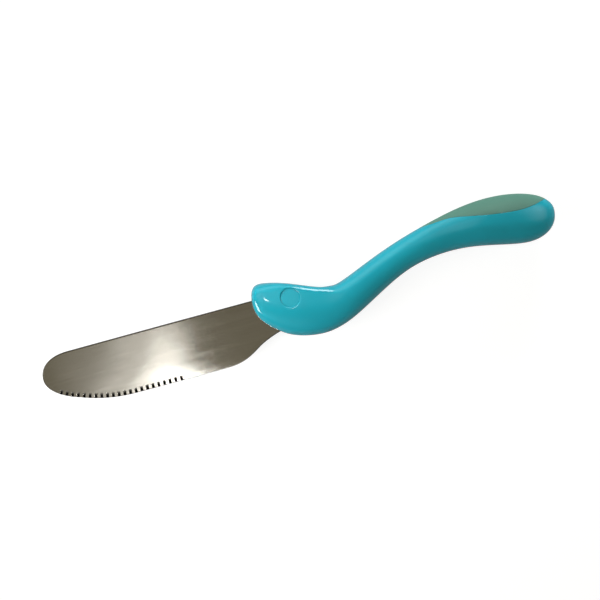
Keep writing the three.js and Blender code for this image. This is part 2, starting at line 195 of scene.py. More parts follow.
class StageSettings(bpy.types.PropertyGroup):
    """Floor, light and camera."""

    floor: bpy.props.FloatVectorProperty(
        name="Floor", description="Colour of the floor", default=(0.3, 0.3, 0.3), subtype="COLOR")
    floor_glow: bpy.props.FloatProperty(
        name="Floor glow", description="Brightness added to the floor where it is seen or mirrored", default=0.86)
    room: bpy.props.FloatVectorProperty(
        name="Room", description="Colour of the dim room above the floor", default=(0.185, 0.168, 0.125),
        subtype="COLOR")
    camera_turn: bpy.props.FloatProperty(
        name="Camera turn", description="How far the knife is turned in the picture", default=math.radians(15.25),
        subtype="ANGLE")
    picture_width: bpy.props.FloatProperty(
        name="Picture width", description="Width of the picture at the knife", default=207 * MM, unit="LENGTH")


class KnifeSettings(bpy.types.PropertyGroup):
    """All settings of the table knife."""

    blade: bpy.props.PointerProperty(type=BladeSettings)
    handle: bpy.props.PointerProperty(type=HandleSettings)
    stage: bpy.props.PointerProperty(type=StageSettings)


# Handle form

class HandleForm:
    """The handle's outer form: leaning oval sections strung on one closed curve over its top and underside."""

    def __init__(self):
        rails = []
        for side in (1, -1):
            rail = []
            for x, y, height, lean, width, *_ in HANDLE_SECTIONS:
                reach = side * height / 2
                angle = math.radians(lean)
                rail.append((x - reach * math.sin(angle), y + reach * math.cos(angle), side * width / 2))
            rails.append(rail)
        self.points = np.array([(*NOSE, 0.0), *rails[0], (*BUTT, 0.0), *reversed(rails[1])])
        self.steps = np.sqrt(np.linalg.norm(np.roll(self.points, -1, axis=0) - self.points, axis=1))
        self.bends = self._bends()
        first, last = HANDLE_SECTIONS[0], HANDLE_SECTIONS[-1]
        self.rounding = np.array([s[5:] for s in (first, first, *HANDLE_SECTIONS, last, last)])

    def _bends(self):
        """Second derivatives of the closed cubic spline through the points."""
        n = len(self.points)
        h = self.steps
        system = np.zeros((n, n))
        right = np.zeros((n, 3))
        for i in range(n):
            before, after = (i - 1) % n, (i + 1) % n
            system[i, before] += h[before]
            system[i, i] += 2 * (h[before] + h[i])
            system[i, after] += h[i]
            right[i] = 6 * ((self.points[after] - self.points[i]) / h[i]
                            - (self.points[i] - self.points[before]) / h[before])
        return np.linalg.solve(system, right)

    def curve(self, place):
        """Point of the closed curve at a place counted in stations."""
        n = len(self.points)
        i = int(math.floor(place)) % n
        b = place - math.floor(place)
        a = 1 - b
        after = (i + 1) % n
        return (a * self.points[i] + b * self.points[after]
                + ((a ** 3 - a) * self.bends[i] + (b ** 3 - b) * self.bends[after]) * self.steps[i] ** 2 / 6)

    def section(self, station):
        """Oval section at a station: centre, upward direction, half height, half width and rounding."""
        top = self.curve(station)
        bottom = self.curve(2 * LAST_STATION - station)
        span = top - bottom
        half_height = max(math.hypot(span[0], span[1]) / 2, 1e-4)
        half_width = max(span[2] / 2, 1e-4)
        if station < NOSE_STATIONS[1]:
            near = min(1.0, (NOSE_STATIONS[1] - station) / (NOSE_STATIONS[1] - NOSE_STATIONS[0]))
            power = 1 + NOSE_BLUNTNESS * near * near * (3 - 2 * near)
            short = max(0.0, 1 - 2 * half_width / HEAD_WIDTH)
            half_width = HEAD_WIDTH / 2 * (1 - short ** power) ** (1 / power)
        i = min(int(station), LAST_STATION - 1)
        w = station - i
        before, start, end, after = self.rounding[i:i + 4]
        rounding = start + w / 2 * (end - before + w * (
            2 * before - 5 * start + 4 * end - after + w * (3 * (start - end) + after - before)))
        return (top + bottom)[:2] / 2, span[:2] / (2 * half_height), half_height, half_width, rounding

    @staticmethod
    def points_at(section, angles, insets=0.0):
        """Points of a section at angles from its top, each taken in by an inset."""
        centre, up, half_height, half_width, (upper, lower, crown) = section
        insets = np.minimum(insets, 0.55 * min(half_height * (1 - crown), half_width))
        c, s = np.cos(angles), np.sin(angles)
        power = np.where(c > 0, upper, lower)
        reach = half_height * np.where(c > 0, 1 - crown, 1 + crown)
        radius = (np.abs(c / (reach - insets)) ** power
                  + np.abs(s / (half_width - insets)) ** power) ** (-1 / power)
        over = crown * half_height + radius * c
        return np.stack([centre[0] + up[0] * over, centre[1] + up[1] * over, radius * s], axis=-1)

    def angle_at_height(self, section, height, outer):
        """Angle at which the section has a height over the middle plane, near its top (0) or its underside (pi)."""
        inner = math.pi / 2
        for _ in range(30):
            middle = (outer + inner) / 2
            outer, inner = (middle, inner) if self.points_at(section, middle)[2] < height else (outer, middle)
        return inner

    def even_angles(self, section, first, last, count):
        """Angles from first to last, closer together where the section turns more."""
        fine = np.linspace(first, last, 360)
        points = self.points_at(section, fine)
        steps = np.diff(points, axis=0)
        lengths = np.linalg.norm(steps, axis=1)
        directions = steps / np.maximum(lengths, 1e-9)[:, None]
        turns = np.arccos(np.clip(np.sum(directions[1:] * directions[:-1], axis=1), -1, 1))
        weights = lengths / max(lengths.sum(), 1e-9)
        weights[1:] += 1.4 * turns / max(turns.sum(), 1e-9)
        sums = np.concatenate([[0], np.cumsum(weights)])
        return np.interp(np.linspace(0, sums[-1], count), sums, fine)

    def surface(self, x, y):
        """Height of the surface over the middle plane, seen from the side at x, y."""
        low, high = 0.5, LAST_STATION - 0.5
        for _ in range(30):
            station = (low + high) / 2
            centre, up = self.section(station)[:2]
            along = (x - centre[0]) * up[1] - (y - centre[1]) * up[0]
            low, high = (station, high) if along > 0 else (low, station)
        centre, up, half_height, half_width, (upper, lower, crown) = self.section(station)
        over = (x - centre[0]) * up[0] + (y - centre[1]) * up[1] - crown * half_height
        power = upper if over > 0 else lower
        reach = half_height * (1 - crown if over > 0 else 1 + crown)
        return half_width * (1 - min(abs(over) / reach, 1) ** power) ** (1 / power)


FORM = HandleForm()


def smooth_height(points, x):
    """Height at x of a smooth curve through points given from left to right."""
    i = max(0, min(len(points) - 2, sum(1 for p in points if p[0] <= x) - 1))
    (x1, y1), (x2, y2) = points[i], points[i + 1]

    def slope(k):
        a, b = points[max(k - 1, 0)], points[min(k + 1, len(points) - 1)]
        return (b[1] - a[1]) / (b[0] - a[0])

    w = (x - x1) / (x2 - x1)
    d = x2 - x1
    return ((2 * w ** 3 - 3 * w ** 2 + 1) * y1 + (w ** 3 - 2 * w ** 2 + w) * d * slope(i)
            + (3 * w ** 2 - 2 * w ** 3) * y2 + (w ** 3 - w ** 2) * d * slope(i + 1))


def pad_angle(section):
    """Angle from the top of a section to the pad's lower edge, or 0 where there is no pad."""
    def over(angle):
        x, y, _ = FORM.points_at(section, angle)
        return y - smooth_height(PAD_EDGE, x)

    if not PAD_EDGE[0][0] < FORM.points_at(section, 0.0)[0] < PAD_EDGE[-1][0] or over(0.0) <= 0:
        return 0.0
    low, high = 0.0, math.pi * 0.6
    for _ in range(30):
        middle = (low + high) / 2
        low, high = (middle, high) if over(middle) > 0 else (low, middle)
    return high


def bezier(points, steps):
    """Points along a cubic Bezier curve."""
    a, b, c, d = (np.array(p, float) for p in points)
    t = np.linspace(0, 1, steps)[:, None]
    return (1 - t) ** 3 * a + 3 * (1 - t) ** 2 * t * b + 3 * (1 - t) * t ** 2 * c + t ** 3 * d


# Blade outline, from the foremost point of the tip

SPINE_START = -66.0
TIP_TOP = ((-BLADE_LENGTH, -7.6), (-BLADE_LENGTH, -3.04), (-72.99, 0.0), (SPINE_START, 0.0))
TIP_UNDER = ((-BLADE_LENGTH, -7.6), (-BLADE_LENGTH, -11.2), (-72.45, -14.62), (-66.0, -16.6))
BELLY = ((-66.0, -16.6), (-60.3, -18.75), (-54.2, -20.2), (-46.0, -20.2))
HEEL = ((-14.0, -20.2), (-8.84, -20.2), (-5.8, -18.75), (-1.92, -16.3))
NECK = ((-1.92, -16.3), (0.78, -14.58), (4.6, -13.33), (9.0, -12.1))
SPINE_CROWN = 0.03
SPINE_END = 9.0
TANG_INSET = 2.4
TANG_FROM, TANG_TO = 2.2, 7.2

# Inside the handle the blade's neck and spine pass into the tang between these x
NECK_END, TANG_UNDER_START = 6, 9
CROWN_END, TANG_TOP_START = 3, 6.5

# Flutes: place of the first along the edge, size, how steep their walls are, the steel left under them,
# and where the blade is divided at each of them
FLUTE_START = 8.2
FLUTE_HALF_WIDTH = 0.48
FLUTE_WALL = 0.15
FLUTE_DEPTH = 0.5
FLUTE_LENGTH = 1.65
FLUTE_FLOOR = 0.06
FLUTE_COLUMNS = (0, 0.2, 0.405, 0.43, 0.455, 0.48, 0.53, 0.7)
FLUTE_ROOM = 0.75

# Ground edge, rounded edges, and a band of painted dark reflection along them
GRIND_RUNOUT = 30.0
GRIND_END = 4.0
SPINE_ROUND = 0.25
EDGE_ROUND = 0.16
EDGE_SHADE_WIDTH = 0.45
EDGE_SHADE_RUNOUT = 10.0
EDGE_SHADE_DARKNESS = 0.8

# Where the blade is divided square to its edge and below its spine, and the size of its brushed map
EDGE_BAND = 2.2
EDGE_DEPTHS = np.array([
    0, 0.012, 0.035, 0.07, 0.11, 0.17, 0.3, 0.5, 0.75, 1, 1.2, 1.35, 1.45, 1.53, 1.59, 1.64, 1.7, 1.85, EDGE_BAND])
SPINE_DROPS = np.array([1.2, 0.6, 0.25, 0.2, 0.15, 0.1, 0.06, 0.03, 0.012, 0.003, 0])
BRUSH_SCALE = 10


def tang_line(side):
    """Points along the top or underside of the tang, up to the end of its round."""
    points = []
    for station in np.linspace(TANG_FROM, TANG_TO, 40):
        centre, up, half_height = FORM.section(station)[:3]
        points.append(centre + side * up * (half_height - TANG_INSET))
    radius = half_height - TANG_INSET
    start = math.atan2(side * up[1], side * up[0])
    for share in np.linspace(0.05, 1, 20):
        angle = start * (1 - share)
        points.append(centre + radius * np.array((math.cos(angle), math.sin(angle))))
    return np.array(points)


def blade_outline():
    """Ground edge, lower outline and upper outline of blade and tang, each from the tip to the handle."""
    straight = np.linspace(BELLY[-1], HEEL[0], 40)
    edge = np.vstack([
        bezier(TIP_UNDER, 90), bezier(BELLY, 90)[1:], straight[1:], bezier(HEEL, 60)[1:]])
    neck = bezier(NECK, 40)[1:]
    tang_under = tang_line(-1)
    lower = np.vstack([edge, neck[neck[:, 0] < NECK_END], tang_under[tang_under[:, 0] > TANG_UNDER_START]])
    spine = np.linspace(SPINE_START, SPINE_END, 60)[1:]
    share = (spine - SPINE_START) / (SPINE_END - SPINE_START)
    crown = np.column_stack([spine, 4 * SPINE_CROWN * share * (1 - share)])
    tang_top = tang_line(1)
    upper = np.vstack([
        bezier(TIP_TOP, 120), crown[crown[:, 0] < CROWN_END], tang_top[tang_top[:, 0] > TANG_TOP_START]])
    return edge, lower, upper


def run_along(line):
    """Length along a line up to each of its points."""
    return np.concatenate([[0], np.cumsum(np.linalg.norm(np.diff(line, axis=0), axis=1))])


def nearest_on(points, line, runs):
    """Distance from each point to a line, and the length along the line where it is nearest."""
    start, step = line[:-1], np.diff(line, axis=0)
    rel = points[:, None, :] - start[None]
    share = np.clip(np.sum(rel * step, axis=2) / np.sum(step * step, axis=1), 0, 1)
    far = np.linalg.norm(rel - share[..., None] * step, axis=2)
    best = far.argmin(axis=1)
    rows = np.arange(len(points))
    return far[rows, best], runs[best] + share[rows, best] * np.diff(runs)[best]


# Meshes

def to_part(point):
    """Point of the outlines in the part's frame, in metres."""
    return KNIFE_ORIGIN + Vector((float(point[0]), float(point[1]), float(point[2]))) * MM


def tube(rings, name, darkened=None):
    """Closed, smooth mesh through equal rings of points, capped at both ends."""
    size = len(rings[0])
    vertices = [to_part(p) for ring in rings for p in ring]
    faces = []
    for r in range(len(rings) - 1):
        a, b = r * size, (r + 1) * size
        faces += [(a + i, a + (i + 1) % size, b + (i + 1) % size, b + i) for i in range(size)]
    faces.append(tuple(reversed(range(size))))
    faces.append(tuple(range((len(rings) - 1) * size, len(rings) * size)))
    mesh = bpy.data.meshes.new(name)
    mesh.from_pydata([tuple(v) for v in vertices], [], faces)
    # Optional per-point share of painted shade, which the steel's material reads to darken its colour
    if darkened is not None:
        mesh.attributes.new("darkened", "FLOAT", "POINT").data.foreach_set("value", darkened)
    work = bmesh.new()
    work.from_mesh(mesh)
    bmesh.ops.remove_doubles(work, verts=work.verts, dist=2e-7)
    bmesh.ops.dissolve_degenerate(work, edges=work.edges, dist=1e-8)
    bmesh.ops.recalc_face_normals(work, faces=work.faces)
    work.to_mesh(mesh)
    work.free()
    mesh.polygons.foreach_set("use_smooth", [True] * len(mesh.polygons))
    return mesh


def place(mesh, material, slot, *nodes):
    """Object for a mesh that stands for CAD nodes and rides with the knife."""
    piece = bpy.data.objects.new(mesh.name, mesh)
    bpy.context.scene.collection.objects.link(piece)
    mesh.materials.clear()
    mesh.materials.append(material)
    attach(piece, BODY)
    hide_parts(*nodes)
    return piece


def apply_modifiers(piece):
    """Replaces a piece's mesh by what its modifiers make of it."""
    made = bpy.data.meshes.new_from_object(piece.evaluated_get(bpy.context.evaluated_depsgraph_get()))
    old = piece.data
    piece.modifiers.clear()
    piece.data = made
    name = old.name
    bpy.data.meshes.remove(old)
    made.name = name


# Materials

def node(tree, kind, **inputs):
    """New shader node with values set on its sockets."""
    made = tree.nodes.new(kind)
    for name, value in inputs.items():
        made.inputs[name.replace("_", " ")].default_value = value
    return made


def material_base(name):
    """Material with its own principled shader; returns material, tree and shader."""
    material = bpy.data.materials.get(name) or bpy.data.materials.new(name)
    material.use_nodes = True
    tree = material.node_tree
    tree.nodes.clear()
    output = tree.nodes.new("ShaderNodeOutputMaterial")
    shader = tree.nodes.new("ShaderNodeBsdfPrincipled")
    tree.links.new(shader.outputs[0], output.inputs[0])
    return material, tree, shader


def object_noise(tree, scale, detail=3.0, stretch=(1, 1, 1)):
    """Noise in object space, stretched along the axes; gives its value socket."""
    coordinates = tree.nodes.new("ShaderNodeTexCoord")
    mapping = node(tree, "ShaderNodeMapping", Scale=stretch)
    noise = node(tree, "ShaderNodeTexNoise", Scale=scale, Detail=detail)
    tree.links.new(coordinates.outputs["Object"], mapping.inputs["Vector"])
    tree.links.new(mapping.outputs[0], noise.inputs["Vector"])
    return noise.outputs["Fac"]


def ramp(tree, value, stops):
    """Colour ramp over a value; stops are (place, colour)."""
    made = tree.nodes.new("ShaderNodeValToRGB")
    elements = made.color_ramp.elements
    for i, (at, colour) in enumerate(stops):
        element = elements[i] if i < 2 else elements.new(at)
        element.position = at
        element.color = (*colour, 1)
    tree.links.new(value, made.inputs["Fac"])
    return made.outputs["Color"]


def spread(tree, value, low, high):
    """Maps the usual range of a noise to low..high."""
    made = node(tree, "ShaderNodeMapRange", From_Min=0.3, From_Max=0.7, To_Min=low, To_Max=high)
    tree.links.new(value, made.inputs["Value"])
    return made.outputs["Result"]


def bump(tree, value, strength, distance, under=None):
    """Bump from a value, on top of another bump."""
    made = node(tree, "ShaderNodeBump", Strength=strength, Distance=distance)
    tree.links.new(value, made.inputs["Height"])
    if under is not None:
        tree.links.new(under, made.inputs["Normal"])
    return made.outputs["Normal"]


def shaded(colour, factor):
    """Colour times a factor, up to white."""
    return tuple(min(1.0, c * factor) for c in colour)


def maths(tree, operation, *values):
    """Math node over sockets and numbers; gives its value socket."""
    made = tree.nodes.new("ShaderNodeMath")
    made.operation = operation
    for socket, value in zip(made.inputs, values):
        if isinstance(value, float):
            socket.default_value = value
        else:
            tree.links.new(value, socket)
    return made.outputs[0]


def multiplied(tree, first, second):
    """Product of two colours."""
    made = tree.nodes.new("ShaderNodeMix")
    made.data_type = "RGBA"
    made.blend_type = "MULTIPLY"
    made.inputs["Factor"].default_value = 1.0
    tree.links.new(first, made.inputs["A"])
    tree.links.new(second, made.inputs["B"])
    return made.outputs["Result"]


def brushed_steel(colour):
    """Satin steel brushed along the blade, with painted shade making the flutes near-black and a painted dark
    reflection along its edges.
    """
    material, tree, shader = material_base("brushed_steel")
    colour = tuple(colour)
    lines = object_noise(tree, 1.0, 3.0, (22, 2400, 2400))
    scratches = object_noise(tree, 1.0, 2.0, (40, 700, 700))
    clouds = object_noise(tree, 60.0, 3.0, (0.5, 1, 1))
    tone = ramp(tree, lines, ((0.3, shaded(colour, 0.95)), (0.7, shaded(colour, 1.04))))
    smudge = ramp(tree, clouds, ((0.3, (0.94, 0.94, 0.94)), (0.7, (1, 1, 1))))
    # Near-black colour mixed in by the point attribute: painted shade inside the flutes and a painted dark
    # reflection along the edges
    darkened = tree.nodes.new("ShaderNodeAttribute")
    darkened.attribute_name = "darkened"
    dark = tree.nodes.new("ShaderNodeMix")
    dark.data_type = "RGBA"
    dark.inputs["B"].default_value = (0.0015, 0.0013, 0.0012, 1)
    tree.links.new(darkened.outputs["Fac"], dark.inputs["Factor"])
    tree.links.new(multiplied(tree, tone, smudge), dark.inputs["A"])
    tree.links.new(dark.outputs["Result"], shader.inputs["Base Color"])
    shader.inputs["Metallic"].default_value = 1.0
    shader.inputs["Anisotropic"].default_value = 0.74
    shader.inputs["Anisotropic Rotation"].default_value = 0.25
    tangent = tree.nodes.new("ShaderNodeTangent")
    tangent.direction_type = "UV_MAP"
    tangent.uv_map = "brush"
    tree.links.new(tangent.outputs[0], shader.inputs["Tangent"])
    tree.links.new(spread(tree, scratches, 0.105, 0.155), shader.inputs["Roughness"])
    tree.links.new(bump(tree, lines, 0.05, 0.00001), shader.inputs["Normal"])
    return material


def drawn_steel(colour):
    """Plain drawn steel of the pin, with lines round it."""
    material, tree, shader = material_base("drawn_steel")
    lines = object_noise(tree, 1.0, 3.0, (300, 300, 4000))
    tone = ramp(tree, lines, ((0.3, shaded(tuple(colour), 0.8)), (0.7, shaded(tuple(colour), 1.0))))
    tree.links.new(tone, shader.inputs["Base Color"])
    shader.inputs["Metallic"].default_value = 1.0
    tree.links.new(spread(tree, lines, 0.25, 0.4), shader.inputs["Roughness"])
    return material


def glossy_plastic(colour):
    """Glossy moulded plastic with faint flow clouds and fine wear."""
    material, tree, shader = material_base("turquoise_plastic")
    colour = tuple(colour)
    clouds = object_noise(tree, 55.0, 3.0)
    fine = object_noise(tree, 900.0, 4.0)
    tone = ramp(tree, clouds, ((0.3, shaded(colour, 0.95)), (0.7, shaded(colour, 1.05))))
    tree.links.new(tone, shader.inputs["Base Color"])
    shader.inputs["Specular IOR Level"].default_value = 0.4
    tree.links.new(spread(tree, fine, 0.05, 0.09), shader.inputs["Roughness"])
    tree.links.new(bump(tree, fine, 0.005, 0.0001), shader.inputs["Normal"])
    return material


def soft_grip(colour):
    """Matte soft-touch rubber with a fine grain."""
    material, tree, shader = material_base("grey_green_grip")
    colour = tuple(colour)
    clouds = object_noise(tree, 70.0, 3.0)
    grain = object_noise(tree, 3800.0, 2.0)
    tone = ramp(tree, clouds, ((0.3, shaded(colour, 0.94)), (0.7, shaded(colour, 1.06))))
    tree.links.new(tone, shader.inputs["Base Color"])
    shader.inputs["Specular IOR Level"].default_value = 0.2
    tree.links.new(spread(tree, grain, 0.5, 0.68), shader.inputs["Roughness"])
    tree.links.new(bump(tree, grain, 0.12, 0.00005), shader.inputs["Normal"])
    return material


# Pieces

class TABLEKNIFE_OT_blade(bpy.types.Operator):
    """Add the steel blade with its ground edge, flutes and tang"""

    bl_idname = "table_knife.add_blade"
    bl_label = "Blade"

    def execute(self, context):
        settings = context.scene.table_knife.blade
        edge, lower, upper = blade_outline()
        edge_runs, lower_runs, upper_runs = run_along(edge), run_along(lower), run_along(upper)
        half = settings.thickness / MM / 2
        ground = half - settings.edge_thickness / MM / 2
        grind = settings.grind_height / MM
        flutes = FLUTE_START + settings.flute_pitch / MM * np.arange(settings.flute_count)

        def shape(points):
            """Half thickness, flute share and share of painted edge shade at points of the blade."""
            reach, run = nearest_on(points, edge, edge_runs)
            left_over = edge_runs[-1] - run
            share = np.clip(np.minimum(run, left_over - GRIND_END) / GRIND_RUNOUT, 0, 1)
            share = share * share * (3 - 2 * share)
            off_edge = 1 - np.clip(np.minimum(run, left_over) / EDGE_SHADE_RUNOUT, 0, 1)
            thick = half - ground * share * np.clip(1 - reach / grind, 0, 1) ** 2
            under = nearest_on(points, lower, lower_runs)[0]
            over = nearest_on(points, upper, upper_runs)[0]
            edge_round = SPINE_ROUND + (EDGE_ROUND - SPINE_ROUND) * share
            off_under = 1 - np.clip(under / edge_round, 0, 1)
            off_over = 1 - np.clip(over / SPINE_ROUND, 0, 1)
            thick = thick * np.sqrt(1 - off_under ** 2) * np.sqrt(1 - off_over ** 2)
            aside = np.abs(run[:, None] - flutes[None]).min(axis=1) / FLUTE_HALF_WIDTH
            across = np.clip((1 - aside) / FLUTE_WALL, 0, 1)
            along = np.clip(1 - (reach / FLUTE_LENGTH) ** 6, 0, 1)
            # Painted dark reflection: a band along the spine and the edge, fading out towards the edge's ends
            painted_edge_shade = np.maximum(off_edge * (1 - under / EDGE_SHADE_WIDTH), 1 - over / EDGE_SHADE_WIDTH)
            return thick, across * along, EDGE_SHADE_DARKNESS * np.clip(1.5 * painted_edge_shade, 0, 1)

        columns = self.columns(flutes, edge_runs[-1], lower_runs[-1])
        rings, darkened = [], []
        for run in columns:
            points = self.column(run, lower, lower_runs, upper)
            thick, cut, painted_edge_shade = shape(points)
            deep = np.minimum(FLUTE_DEPTH * cut, np.maximum(2 * thick - FLUTE_FLOOR, 0))
            left = [(x, y, t - d) for (x, y), t, d in zip(points, thick, deep)]
            right = [(x, y, -t) for (x, y), t in zip(points, thick)]
            rings.append(left + right[::-1][1:-1])
            # The flute share and the edge band paint shade and a dark reflection into the steel's colour
            darkened += [*np.maximum(cut, painted_edge_shade), *painted_edge_shade[::-1][1:-1]]
        mesh = tube(rings, "steel_blade", darkened)
        brush = mesh.uv_layers.new(name="brush")
        for corner in mesh.loops:
            spot = mesh.vertices[corner.vertex_index].co
            brush.data[corner.index].uv = (spot.x * BRUSH_SCALE, spot.y * BRUSH_SCALE)
        place(mesh, brushed_steel(settings.steel), "steel", "blade")
        return {"FINISHED"}

    @staticmethod
    def columns(flutes, edge_end, end):
        """Lengths along the lower outline at which the blade is cut into columns, close together at flutes."""
        runs = set(np.round(np.concatenate([
            0.02 + 7.2 * np.linspace(0, 1, 40) ** 1.6,
            np.arange(7.5, edge_end, 1.0),
            np.linspace(edge_end, end - 0.03, 60),
        ]), 3))
        if len(flutes):
            runs = {r for r in runs if np.abs(flutes - r).min() > FLUTE_ROOM}
            for offset in FLUTE_COLUMNS:
                runs |= set(np.round([flutes - offset, flutes + offset], 3).ravel())
        return sorted(runs)

    @staticmethod
    def column(run, lower, lower_runs, upper):
        """Points from the edge square into the blade, then on to the spine."""
        foot = np.array([np.interp(run, lower_runs, lower[:, k]) for k in (0, 1)])
        ahead = np.array([np.interp(run + 0.2, lower_runs, lower[:, k]) for k in (0, 1)])
        behind = np.array([np.interp(run - 0.2, lower_runs, lower[:, k]) for k in (0, 1)])
        along = (ahead - behind) / np.linalg.norm(ahead - behind)
        inward = np.array((-along[1], along[0]))
        if foot[0] > -1:
            inward = np.array((0.0, 1.0))
        depths = EDGE_DEPTHS * min(EDGE_BAND, 0.3 * run) / EDGE_BAND
        near = foot + depths[:, None] * inward
        top = np.array((near[-1, 0], np.interp(near[-1, 0], upper[:, 0], upper[:, 1])))
        height = np.linalg.norm(top - near[-1])
        drops = SPINE_DROPS * min(1, height / 3)
        shares = np.concatenate([np.linspace(0, 1 - drops[0] / height, 10)[1:-1], 1 - drops / height])
        return np.vstack([near, near[-1] + shares[:, None] * (top - near[-1])])


class TABLEKNIFE_OT_handle(bpy.types.Operator):
    """Add the two moulded halves of the handle, with the slot for the blade and the pocket for the pad"""

    bl_idname = "table_knife.add_handle"
    bl_label = "Handle halves"

    def execute(self, context):
        settings = context.scene.table_knife.handle
        slot = context.scene.table_knife.blade.thickness / MM / 2 + SLOT_PLAY
        material = glossy_plastic(settings.plastic)
        rings = self.half(slot, settings.wall / MM, settings.pad_thickness / MM)
        for side, name in ((1, "left"), (-1, "right")):
            sided = [ring * (1, 1, side) for ring in rings]
            piece = place(tube(sided, f"handle_{name}"), material, "handle_plastic", f"handle_half_{name}")
            radius = settings.plug_diameter / MM / 2 + PLUG_PLAY
            self.cut_plug_pocket(piece, side, radius, settings.plug_recess / MM)
        return {"FINISHED"}

    @staticmethod
    def half(slot, wall, pad_thickness):
        """Rings of the left half, from nose to butt. The slot lifts its rim off the middle plane at the nose."""
        lower = blade_outline()[1]
        start = 0.01
        while FORM.section(start)[3] < slot * 1.25:
            start += 0.002
        stations = np.concatenate([
            start + (1 - start) * np.linspace(0, 1, 44) ** 1.7,
            np.linspace(1, LAST_STATION - 1, 250)[1:],
            LAST_STATION - 1 + np.sin(np.linspace(0, 1, 32) * math.pi / 2)[1:] * 0.996,
        ])
        bed = pad_thickness + BED_PLAY
        share = np.linspace(0, 1, 9)[1:-1]
        rings = []
        for station in stations:
            section = FORM.section(station)
            top, bottom = FORM.points_at(section, np.array((0.0, math.pi)))
            over = top[1] - SLOT_OVER_SPINE
            under = np.interp(bottom[0], lower[:, 0], lower[:, 1]) - bottom[1] - SLOT_UNDER_EDGE
            lifts = (SEAM, SEAM)
            if station < SLOT_LAST_STATION:
                lifts = [slot + (SEAM - slot) * min(max(gap / SLOT_CLOSING, 0), 1) for gap in (over, under)]
            first, last = (
                FORM.angle_at_height(section, min(lift, section[3] * 0.97), outer)
                for lift, outer in zip(lifts, (0.0, math.pi)))
            pad = pad_angle(section)
            edge = max(first, pad)
            radius = 0.5 * (section[2] + section[3])
            fine = np.minimum(RIM_REACH / radius, (last - edge) * np.array([0, 0.05, 0.1, 0.15]))
            if pad > first:
                edge_share, roof = PAD_RIM_SHARE, bed + BED_WALL
                path_in = ((first, roof), (first, bed), (edge, bed))
            else:
                edge_share, roof = 1, wall
                path_in = ((first, wall), (first, wall * 0.7), (first, wall * 0.35))
            middle = FORM.even_angles(section, edge + edge_share * fine[-1], last - fine[-1], HALF_POINTS)
            angles = np.concatenate([edge + edge_share * fine[:-1], middle, last - fine[-2::-1]])
            insets = np.concatenate([edge_share * SEAM_RIM, np.zeros(len(middle)), SEAM_RIM[::-1]])
            inner_angles = np.concatenate([
                [last, last], last + (first - last) * share, [a for a, _ in path_in]])
            inner_insets = np.concatenate([
                [wall * 0.5, wall], wall + (roof - wall) * share, [i for _, i in path_in]])
            rings.append(FORM.points_at(
                section, np.concatenate([angles, inner_angles]), np.concatenate([insets, inner_insets])))
        return rings

    @staticmethod
    def cut_plug_pocket(piece, side, radius, recess):
        """Cuts the round pocket for a plug, with a rim that rounds off into the surface."""
        x, y = PLUG_AT
        foot = FORM.surface(x, y) - POCKET_DEPTH
        profile = [(0.0, None), (0.0, recess + 0.1)]
        for share in np.linspace(0, 1, 9):
            slope = share * RIM_TURN
            profile.append((RIM_WIDTH * (1 - math.cos(slope)) / (1 - math.cos(RIM_TURN)),
                            recess * (1 - math.sin(slope) / math.sin(RIM_TURN))))
        profile += [(RIM_WIDTH + 0.3, -0.15), (RIM_WIDTH + 0.3, -3.0)]
        turns = np.linspace(0, 2 * math.pi, POCKET_POINTS, endpoint=False)
        rings = []
        for wider, drop in profile:
            ring = []
            for turn in turns:
                px, py = x + (radius + wider) * math.cos(turn), y + (radius + wider) * math.sin(turn)
                ring.append((px, py, side * (foot if drop is None else FORM.surface(px, py) - drop)))
            rings.append(ring)
        cutter = bpy.data.objects.new("plug_cutter", tube(rings, "plug_cutter"))
        bpy.context.scene.collection.objects.link(cutter)
        cut = piece.modifiers.new("pocket", "BOOLEAN")
        cut.operation = "DIFFERENCE"
        cut.solver = "EXACT"
        cut.object = cutter
        apply_modifiers(piece)
        tool = cutter.data
        bpy.data.objects.remove(cutter)
        bpy.data.meshes.remove(tool)
        piece.data.polygons.foreach_set("use_smooth", [True] * len(piece.data.polygons))
        even = piece.modifiers.new("even_shading", "WEIGHTED_NORMAL")
        even.weight = 100
        even.keep_sharp = False
        apply_modifiers(piece)


class TABLEKNIFE_OT_plugs(bpy.types.Operator):
    """Add the round plugs over the pin, and give the pin its finish"""

    bl_idname = "table_knife.add_plugs"
    bl_label = "Pin and plugs"

    def execute(self, context):
        settings = context.scene.table_knife.handle
        material = glossy_plastic(settings.plastic)
        radius = settings.plug_diameter / MM / 2
        recess = settings.plug_recess / MM
        x, y = PLUG_AT
        foot = FORM.surface(x, y) - PLUG_DEPTH
        turn = np.linspace(0, 2 * math.pi, PLUG_POINTS, endpoint=False)
        for side, name in ((1, "left"), (-1, "right")):
            rings = []
            for share, drop in ((1.0, None), (1.0, 0.06), (0.997, 0.025), (0.991, 0.008), (0.98, 0.0), (0.94, 0.0),
                                (0.8, 0.0), (0.6, 0.0), (0.4, 0.0), (0.2, 0.0), (0.02, 0.0)):
                ring = []
                for angle in turn:
                    px, py = x + radius * share * math.cos(angle), y + radius * share * math.sin(angle)
                    height = foot if drop is None else max(FORM.surface(px, py) - recess - drop, foot + 0.05)
                    ring.append((px, py, side * height))
                rings.append(ring)
            place(tube(rings, f"plug_{name}"), material, "handle_plastic", f"pin_plug_{name}")
        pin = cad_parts["tang_pin"]
        pin.data.materials.clear()
        pin.data.materials.append(drawn_steel(context.scene.table_knife.blade.steel))
        return {"FINISHED"}


